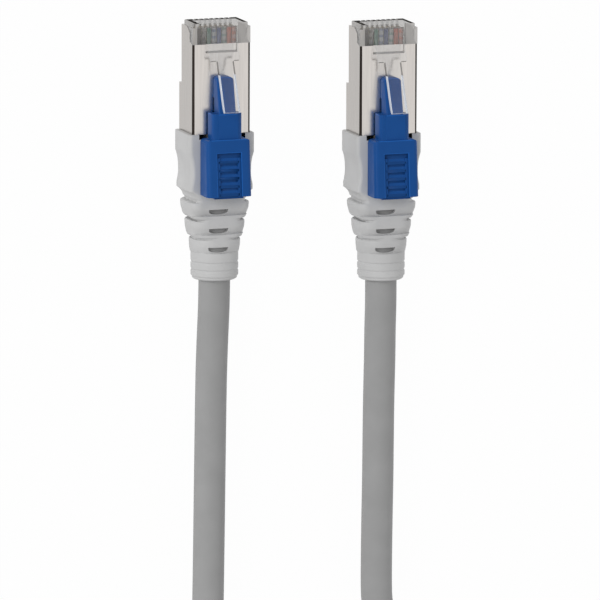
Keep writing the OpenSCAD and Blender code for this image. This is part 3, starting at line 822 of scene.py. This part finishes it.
def add_shield(end):
    node = "shield_" + end
    shield = merged_copy(node, "folded_shield_" + end, [nickel, nickel_side_painted_shade, nickel_inside, nickel_fold_painted_shade])
    low, high = node_box(node)
    colour_faces(shield, shield_finish, end)
    with edited(shield.data) as shape:
        folds = [edge for edge in shape.edges if is_fold(edge, low.x, high.x)]
        # the folds get painted shade
        round_edges(shape, folds, FOLD_R, segments=4, material=3)
    smooth(shield, angle=30)
    finish_piece(shield, "cable_and_plugs", "nickel_sheet", node)


NOSE_H = 6.6
NOSE_Z = FACE_Z - NOSE_H
BAR_AT, BAR_END = 1.2, 9.0
BAR_W, BAR_H = 9.9, 2.1
BAR_Z = NOSE_Z + 2.5
OVERLAP = 0.02
NOSE_HALF = PLUG_W / 2 - 0.57
NOSE_EDGE_R = 0.1
# the body's low sill in the slit behind the shield's tongue
SILL_HALF = 3.18
SILL_AT, SILL_END = 5.42, 5.76
SILL_DROP = 0.3
SILL_ROOT = 1
# strips of the nose: painted shade along its front edges, and a pale haze, partly painted light, in the
# thick plastic beside the wires
DARK_H = 1.9
DARK_W = 0.9
HAZE_LEFT, HAZE_RIGHT = -4.9, 3.35


def is_front_edge(edge, end):
    """True for the nose's lower front edge and its two upright front edges."""
    a, b = (vertex.co / MM for vertex in edge.verts)
    at_front = same(a.y, NOSE[end].y) and same(b.y, NOSE[end].y)
    low = same(a.z, NOSE_Z) and same(b.z, NOSE_Z)
    upright = same(a.x, b.x) and same(abs(a.x - NOSE[end].x), NOSE_HALF)
    return at_front and (low or upright)


def nose_finish(face, end):
    """Clear on top, with a pale haze of painted light beside the wires and on the sill; at the front,
    dark painted shade along the edges and deep painted shade between; deep painted shade elsewhere.
    """
    centre = face.center / MM
    x, height = centre.x - NOSE[end].x, centre.z - NOSE_Z
    if face.normal.z > SQUARE:
        at_sill = same(centre.z, FACE_Z - SILL_DROP)
        return 3 if at_sill or not HAZE_LEFT < x < HAZE_RIGHT else 0
    if face.normal.y > SQUARE and same(centre.y, NOSE[end].y):
        return 2 if height < DARK_H or abs(x) > NOSE_HALF - DARK_W else 1
    return 1


def add_housing(end):
    """The clear body is closed around the wires: what lies in it shows through one skin."""
    node = "plug_housing_" + end
    housing = merged_copy(node, "clear_housing_" + end, [nose_clear, nose_deep_painted_shade, nose_edge_painted_shade, nose_haze_painted_light])
    filled = plan_box(-BAR_W / 2 - OVERLAP, BAR_W / 2 + OVERLAP, BAR_AT - OVERLAP, BAR_END + OVERLAP)
    carve(housing, prism("filled", end, filled, BAR_Z - OVERLAP, BAR_Z + BAR_H + OVERLAP), "UNION")
    sill = plan_box(-SILL_HALF, SILL_HALF, SILL_AT, SILL_END)
    carve(housing, prism("sill", end, sill, FACE_Z - SILL_ROOT, FACE_Z - SILL_DROP), "UNION")
    with edited(housing.data) as shape:
        front = [edge for edge in shape.edges if is_front_edge(edge, end)]
        round_edges(shape, front, NOSE_EDGE_R, segments=2)
        for x in (HAZE_LEFT, HAZE_RIGHT, -NOSE_HALF + DARK_W, NOSE_HALF - DARK_W):
            cut_across(shape, place(end, x, 0, 0), (1, 0, 0))
        cut_across(shape, place(end, 0, 0, NOSE_Z + DARK_H), (0, 0, 1))
    colour_faces(housing, nose_finish, end)
    smooth(housing)
    finish_piece(housing, "cable_and_plugs", "clear_plastic", node)


SHOULDER_AT = 7.6
PAINTED_HIGHLIGHT_FROM = 9.6
LATCH_EDGE_R = 0.15
# a normal past these looks to the side, or halfway between up and back
SIDEWAYS, HALFWAY = 0.3, 0.6


def latch_finish(face, end):
    """Clear, with painted highlights on the edges along the lever and painted shade lines at its root
    and its shoulders.
    """
    back = NOSE[end].y - face.center.y / MM
    if back > PAINTED_HIGHLIGHT_FROM:
        at_tip = face.normal.y < -HALFWAY and face.normal.z > HALFWAY
        return 1 if abs(face.normal.x) > SIDEWAYS or at_tip else 0
    at_root = back > SHOULDER_AT and abs(face.normal.x) > SQUARE
    return 2 if at_root or face.normal.y < -SQUARE else 0


def add_latch(end):
    node = "latch_" + end
    latch = merged_copy(node, "spring_latch_" + end, [latch_clear, latch_painted_highlight, latch_painted_shade_line])
    with edited(latch.data) as shape:
        cut_across(shape, place(end, 0, PAINTED_HIGHLIGHT_FROM, 0), (0, 1, 0))
    bevel(latch, LATCH_EDGE_R)
    colour_faces(latch, latch_finish, end)
    smooth(latch)
    finish_piece(latch, "latch_" + end, "clear_plastic", node)


# ---- Latch lock ----

GRIP_AT = 22.0
GRIP_LEN = 11.0
GRIP_W = 9.0
GRIP_CORNER = 0.9
GRIP_Z = FACE_Z + 4.5
GRIP_RISE = 0.9
FINGER_AT = 10.2
FINGER_W = 3.4
FINGER_CORNER = 0.8
RECESS_DEPTH = 0.7
RECESS_W = 4.85
RECESS_AT = GRIP_AT + 2.6
# the recess's faces lie between these depths under the grip's top
RECESS_FROM, RECESS_TO = 0.1, RECESS_DEPTH + 0.05
RIDGE_PITCH = 1.55
RIDGE_COUNT = 5
RIDGE_END = 0.5
RIDGE_LEN = 1.05
RIDGE_INSET = 0.5
RIDGE_SLOPE = 0.85
RIDGE_EDGE_R = 0.06
RUNG_HALF = 1.8
RUNG_TOP = 0.4
RUNG_SINK = 0.1
# the side strips start just before the first ridge and end a little lower than the ridges
STRIP_AT = RECESS_AT + RIDGE_PITCH - 0.6
STRIP_DROP = 0.05
LOCK_EDGE_R = 0.14
LONG_EDGE = 0.6
REAR_EDGES = GRIP_AT + GRIP_LEN - 0.5
CUT_STEPS = 8
UNDER_FINGER, ABOVE_GRIP = FACE_Z - 1, RAIL_TOP + 6


def grip_height(back):
    """Height of the grip's top, which rises towards its rear end."""
    return GRIP_Z + GRIP_RISE * (back - GRIP_AT) / GRIP_LEN


def combined(tree, **parts):
    """A vector made of number sockets, named by their axis."""
    vector = tree.nodes.new("ShaderNodeCombineXYZ")
    for axis, socket in parts.items():
        tree.links.new(socket, vector.inputs[axis])
    return vector.outputs["Vector"]


RIDGE_INPUTS = {"Width": "Float", "Length": "Float", "Height": "Float", "Pitch": "Float",
                "Rise": "Float", "Count": "Int", "First": "Vector", "Material": "Material"}


def ridge_tree():
    """A row of wedges: each rises towards the rear and ends in a steep drop."""
    tree = bpy.data.node_groups.new("grip_ridges", "GeometryNodeTree")
    for name, kind in RIDGE_INPUTS.items():
        tree.interface.new_socket(name=name, in_out="INPUT", socket_type="NodeSocket" + kind)
    tree.interface.new_socket(name="Geometry", in_out="OUTPUT", socket_type="NodeSocketGeometry")
    nodes, link = tree.nodes, tree.links.new
    sizes = nodes.new("NodeGroupInput").outputs
    result = nodes.new("NodeGroupOutput")
    block = nodes.new("GeometryNodeMeshCube")
    link(combined(tree, X=sizes["Width"], Y=sizes["Length"], Z=sizes["Height"]), block.inputs["Size"])
    # the top edge at the front is pressed down to make the slope
    position = nodes.new("GeometryNodeInputPosition")
    parts = nodes.new("ShaderNodeSeparateXYZ")
    link(position.outputs["Position"], parts.inputs["Vector"])
    top_front = nodes.new("FunctionNodeBooleanMath")
    for axis, socket in zip("YZ", top_front.inputs):
        past_middle = nodes.new("FunctionNodeCompare")
        link(parts.outputs[axis], past_middle.inputs["A"])
        link(past_middle.outputs["Result"], socket)
    slope = nodes.new("GeometryNodeSetPosition")
    link(block.outputs["Mesh"], slope.inputs["Geometry"])
    link(top_front.outputs["Boolean"], slope.inputs["Selection"])
    link(combined(tree, Z=scaled(tree, sizes["Height"], -RIDGE_SLOPE)), slope.inputs["Offset"])
    row = nodes.new("GeometryNodeMeshLine")
    link(sizes["Count"], row.inputs["Count"])
    link(sizes["First"], row.inputs["Start Location"])
    link(combined(tree, Y=scaled(tree, sizes["Pitch"], -1), Z=sizes["Rise"]), row.inputs["Offset"])
    copies = nodes.new("GeometryNodeInstanceOnPoints")
    link(row.outputs["Mesh"], copies.inputs["Points"])
    link(slope.outputs["Geometry"], copies.inputs["Instance"])
    real = nodes.new("GeometryNodeRealizeInstances")
    link(copies.outputs["Instances"], real.inputs["Geometry"])
    finish = nodes.new("GeometryNodeSetMaterial")
    link(real.outputs["Geometry"], finish.inputs["Geometry"])
    link(sizes["Material"], finish.inputs["Material"])
    link(finish.outputs["Geometry"], result.inputs["Geometry"])
    return tree


def side_strip(end, side):
    """Strip beside the ridges that closes the pockets between them."""
    inner, outer = side * RUNG_HALF, side * (RECESS_W / 2 + OVERLAP)
    rings = []
    for back in (STRIP_AT, GRIP_AT + GRIP_LEN):
        floor = grip_height(back) - RECESS_DEPTH - RUNG_SINK
        top = grip_height(back) - RECESS_DEPTH + RUNG_TOP - STRIP_DROP
        rings.append([place(end, x, back, z) for x, z in
                      ((inner, floor), (outer, floor), (outer, top), (inner, top))])
    return loft("side_strip", rings, [lock_blue])


def add_ridges(end, tree):
    height = RUNG_TOP + RUNG_SINK
    middle = RECESS_AT + RIDGE_PITCH + RIDGE_END - RIDGE_LEN / 2
    floor = grip_height(middle) - RECESS_DEPTH - RUNG_SINK
    values = {"Width": (RECESS_W - RIDGE_INSET) * MM, "Length": RIDGE_LEN * MM,
              "Height": height * MM, "Pitch": RIDGE_PITCH * MM,
              "Rise": GRIP_RISE / GRIP_LEN * RIDGE_PITCH * MM, "Count": RIDGE_COUNT,
              "First": place(end, 0, middle, floor + height / 2), "Material": lock_blue}
    name = "grip_ridges_" + end
    ridges = add_piece(name, bpy.data.meshes.new(name), [lock_blue])
    grow = ridges.modifiers.new("ridges", "NODES")
    grow.node_group = tree
    for item in tree.interface.items_tree:
        if item.name in values:
            grow[item.identifier] = values[item.name]
    apply_modifiers(ridges)
    outward(ridges.data)
    for side in (-1, 1):
        carve(ridges, side_strip(end, side), "UNION")
    bevel(ridges, RIDGE_EDGE_R)
    smooth(ridges)
    finish_piece(ridges, "lock_" + end, "blue_plastic")


def corner_cut(end, side, half, front, radius, low):
    """What is cut from an upright front corner of the lock to make it round."""
    wide = half + BEYOND
    outline = [(side * (half - radius), front - BEYOND), (side * wide, front - BEYOND),
               (side * wide, front + radius)]
    for k in range(CUT_STEPS + 1):
        angle = math.radians(90 * k / CUT_STEPS)
        outline.append((side * (half - radius + radius * math.cos(angle)),
                        front + radius - radius * math.sin(angle)))
    return prism("corner_cut", end, outline, low, ABOVE_GRIP)


def in_recess(spot, end):
    """True for a spot on the floor or the walls of the grip's recess."""
    back = NOSE[end].y - spot.y
    drop = grip_height(back) - spot.z
    return (abs(spot.x - NOSE[end].x) < RECESS_W / 2 + SAME and back > RECESS_AT - SAME
            and RECESS_FROM < drop < RECESS_TO)


def is_outer_edge(edge, end):
    """True for a long convex edge of the lock that is neither in its recess nor at its rear end."""
    if edge.calc_length() < LONG_EDGE * MM or edge.calc_face_angle_signed() < SHARP:
        return False
    spots = [vertex.co / MM for vertex in edge.verts]
    at_rear = all(NOSE[end].y - spot.y > REAR_EDGES for spot in spots)
    return not at_rear and not any(in_recess(spot, end) for spot in spots)


def add_lock(end):
    node = "lock_slider_" + end
    lock = merged_copy(node, "latch_lock_" + end, [lock_blue, painted_shade_recess, painted_highlight_lock_edge])
    with edited(lock.data) as shape:
        bmesh.ops.recalc_face_normals(shape, faces=shape.faces)
        outer = [edge for edge in shape.edges if is_outer_edge(edge, end)]
        # the rounded outer edges get a painted highlight
        round_edges(shape, outer, LOCK_EDGE_R, segments=3, clamp_overlap=False, material=2)
    # the recess's faces get painted shade
    for face in lock.data.polygons:
        if in_recess(face.center / MM, end):
            face.material_index = 1
    for side in (-1, 1):
        carve(lock, corner_cut(end, side, GRIP_W / 2, GRIP_AT, GRIP_CORNER, BOOT_H))
        carve(lock, corner_cut(end, side, FINGER_W / 2, FINGER_AT, FINGER_CORNER, UNDER_FINGER))
    smooth(lock)
    finish_piece(lock, "lock_" + end, "blue_plastic", node)


# ---- Wires ----

PIN_PITCH = 1.02
PIN_COUNT = 8
WIRE_Z = BAR_Z + 1.05
WIRE_R = 0.44
WIRE_SIDES = 16
WIRE_INSET = 0.1
CORE_AT = 17.4
CORE_END = 30.0
PAIR_OFFSET = 1.02
STRAND_R = 0.45
TWIST_LEN = 18
FAN_STEPS, TWIST_STEPS = 6, 8
# pair: quadrant in the core, then pin, side and height of bow of each wire; the pale one is first
PAIRS = {"orange": ((1, -1), ((1, 1, -0.25), (2, -1, -0.8))),
         "green": ((-1, 1), ((3, 1, 1.5), (6, -1, 0.25))),
         "blue": ((1, 1), ((5, -1, -0.45), (4, 1, 0))),
         "brown": ((-1, -1), ((7, 1, -1), (8, -1, -0.45)))}
# how much of the pair's full colour is in its rings, and how far they are shifted pair by pair
RING_SHARE = 0.55
RING_SHIFT = 1.7


def pin_x(pin):
    return (PIN_COUNT / 2 + 0.5 - pin) * PIN_PITCH


def twist_point(quadrant, side, back):
    """A point of one wire of a twisted pair in its quadrant of the core."""
    angle = 2 * math.pi * (back - CORE_AT) / TWIST_LEN
    return Vector((quadrant[0] * PAIR_OFFSET + side * STRAND_R * math.cos(angle), back,
                   AXIS_Z + quadrant[1] * PAIR_OFFSET + side * STRAND_R * math.sin(angle)))


def wire_path(quadrant, pin, side, bow):
    """Straight through the load bar, fanned in to its pair, then twisted with the other wire."""
    start = Vector((pin_x(pin), BAR_END, WIRE_Z))
    joined = twist_point(quadrant, side, CORE_AT)
    path = [Vector((start.x, BAR_AT + WIRE_INSET, WIRE_Z)), start]
    for k in range(1, FAN_STEPS + 1):
        s = k / FAN_STEPS
        ease = s * s * (3 - 2 * s)
        path.append(Vector((start.x + (joined.x - start.x) * ease, start.y + (joined.y - start.y) * s,
                            start.z + (joined.z - start.z) * ease
                            + bow * 2 * WIRE_R * math.sin(math.pi * s))))
    for k in range(1, TWIST_STEPS + 1):
        path.append(twist_point(quadrant, side, CORE_AT + (CORE_END - CORE_AT) * k / TWIST_STEPS))
    return path


def add_pair(end, colour):
    quadrant, wires = PAIRS[colour]
    phase = RING_SHIFT * list(PAIRS).index(colour)
    pale, full = PALE_COLOUR[colour], PAIR_COLOUR[colour]
    ring = [(1 - RING_SHARE) * a + RING_SHARE * b for a, b in zip(pale, full)]
    tints = insulation("pale_" + colour, pale, ring, phase), insulation("solid_" + colour, full)
    shape = bmesh.new()
    for pin, side, bow in wires:
        path = [place(end, *point) for point in wire_path(quadrant, pin, side, bow)]
        wire = loft("wire", tube_rings(path, WIRE_R * MM, WIRE_SIDES))
        shape.from_mesh(wire.data)
        bpy.data.objects.remove(wire)
    name = colour + "_wires_" + end
    mesh = bpy.data.meshes.new(name)
    shape.to_mesh(mesh)
    shape.free()
    pair = add_piece(name, mesh, tints)
    for face in mesh.polygons:
        face.material_index = face.index * len(wires) // len(mesh.polygons)
    smooth(pair, angle=50)
    finish_piece(pair, "cable_and_plugs", colour + "_insulation", colour + "_pair_" + end)


BAR_INSET = 0.04
HOLE_R = WIRE_R - 0.01
HOLE_BEYOND = 1


def add_load_bar(end):
    """Clear bar that grips the eight wires."""
    half = BAR_W / 2 - BAR_INSET
    outline = plan_box(-half, half, BAR_AT + BAR_INSET, BAR_END - BAR_INSET)
    bar = prism("load_bar", end, outline, BAR_Z + BAR_INSET, BAR_Z + BAR_H - BAR_INSET)
    bar.name = "wire_load_bar_" + end
    bar.data.materials.append(bar_clear)
    for pin in range(1, PIN_COUNT + 1):
        line = [place(end, pin_x(pin), back, WIRE_Z)
                for back in (BAR_AT - HOLE_BEYOND, BAR_END + HOLE_BEYOND)]
        carve(bar, loft("hole", tube_rings(line, HOLE_R * MM, WIRE_SIDES)))
    smooth(bar)
    finish_piece(bar, "cable_and_plugs", "clear_plastic", "load_bar_" + end)


# ---- Carried-over nodes ----

KEPT = {"contacts": gold_plate, "pair_foils": pair_foil, "braid": tinned_braid,
        "jacket_end": cable_grey, "crimp_collar": crimp_metal}


def dress_kept_nodes(end):
    """Give the nodes that are shown as they are their materials."""
    for name, material in KEPT.items():
        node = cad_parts[name + "_" + end]
        if not node.material_slots:
            node.data.materials.append(material)
        for holder in node.material_slots:
            holder.material = material


# ---- Both ends ----

ridge_row = ridge_tree()
for end in ENDS:
    add_boot(end)
    add_shield(end)
    add_housing(end)
    add_latch(end)
    add_lock(end)
    add_ridges(end, ridge_row)
    for colour in PAIRS:
        add_pair(end, colour)
    add_load_bar(end)
    dress_kept_nodes(end)


# ---- Floor and light ----

def seen_directly(tree):
    """1 for rays that show the background: from the camera, from gloss and through glass."""
    path = tree.nodes.new("ShaderNodeLightPath")
    total = path.outputs["Is Camera Ray"]
    for name in ("Is Glossy Ray", "Is Transmission Ray"):
        either = tree.nodes.new("ShaderNodeMath")
        either.operation = "MAXIMUM"
        tree.links.new(total, either.inputs[0])
        tree.links.new(path.outputs[name], either.inputs[1])
        total = either.outputs["Value"]
    return total


TABLE_WHITE = 0.9
TABLE_GLOW = 0.975
TABLE_HALF = 4


def add_floor():
    """A table that is seen as white with a trace of shadow, and lights the plugs as plain white."""
    material = bpy.data.materials.new("white_table")
    material.use_nodes = True
    tree = material.node_tree
    tree.nodes.remove(tree.nodes["Principled BSDF"])
    lit = tree.nodes.new("ShaderNodeBsdfDiffuse")
    lit.inputs["Color"].default_value = (TABLE_WHITE, TABLE_WHITE, TABLE_WHITE, 1)
    glow = tree.nodes.new("ShaderNodeEmission")
    glow.inputs["Strength"].default_value = 1
    mix = tree.nodes.new("ShaderNodeMixShader")
    tree.links.new(scaled(tree, seen_directly(tree), TABLE_GLOW), mix.inputs["Fac"])
    tree.links.new(lit.outputs["BSDF"], mix.inputs[1])
    tree.links.new(glow.outputs["Emission"], mix.inputs[2])
    tree.links.new(mix.outputs["Shader"], tree.nodes["Material Output"].inputs["Surface"])
    corners = [(x, y, 0) for x, y in plan_box(-TABLE_HALF, TABLE_HALF, -TABLE_HALF, TABLE_HALF)]
    mesh = bpy.data.meshes.new("table_top")
    mesh.from_pydata(corners, [], [(0, 1, 2, 3)])
    add_piece("table_top", mesh, [material])


AMBIENT = 0.5


def add_world():
    world = bpy.data.worlds.new("studio")
    world.use_nodes = True
    bpy.context.scene.world = world
    tree = world.node_tree
    background = tree.nodes["Background"]
    background.inputs["Color"].default_value = (1, 1, 1, 1)
    vary(tree, seen_directly(tree), AMBIENT, 1.0, background.inputs["Strength"])


def add_lamp(name, where, spread, strength, mirrored=True):
    """A far, broad lamp: its light falls the same on both plugs."""
    lamp = bpy.data.lights.new(name, "SUN")
    lamp.energy = strength
    lamp.angle = math.radians(spread)
    holder = bpy.data.objects.new(name, lamp)
    bpy.context.scene.collection.objects.link(holder)
    holder.visible_glossy = mirrored
    holder.location = where
    holder.rotation_euler = (-Vector(where)).to_track_quat("-Z", "Y").to_euler()


add_floor()
add_world()
add_lamp("key", where=(-1.6, 0.7, 1.15), spread=32, strength=1.13)
add_lamp("fill", where=(1.5, -0.3, 0.7), spread=60, strength=0.25, mirrored=False)
bpy.context.scene.view_settings.view_transform = "Standard"
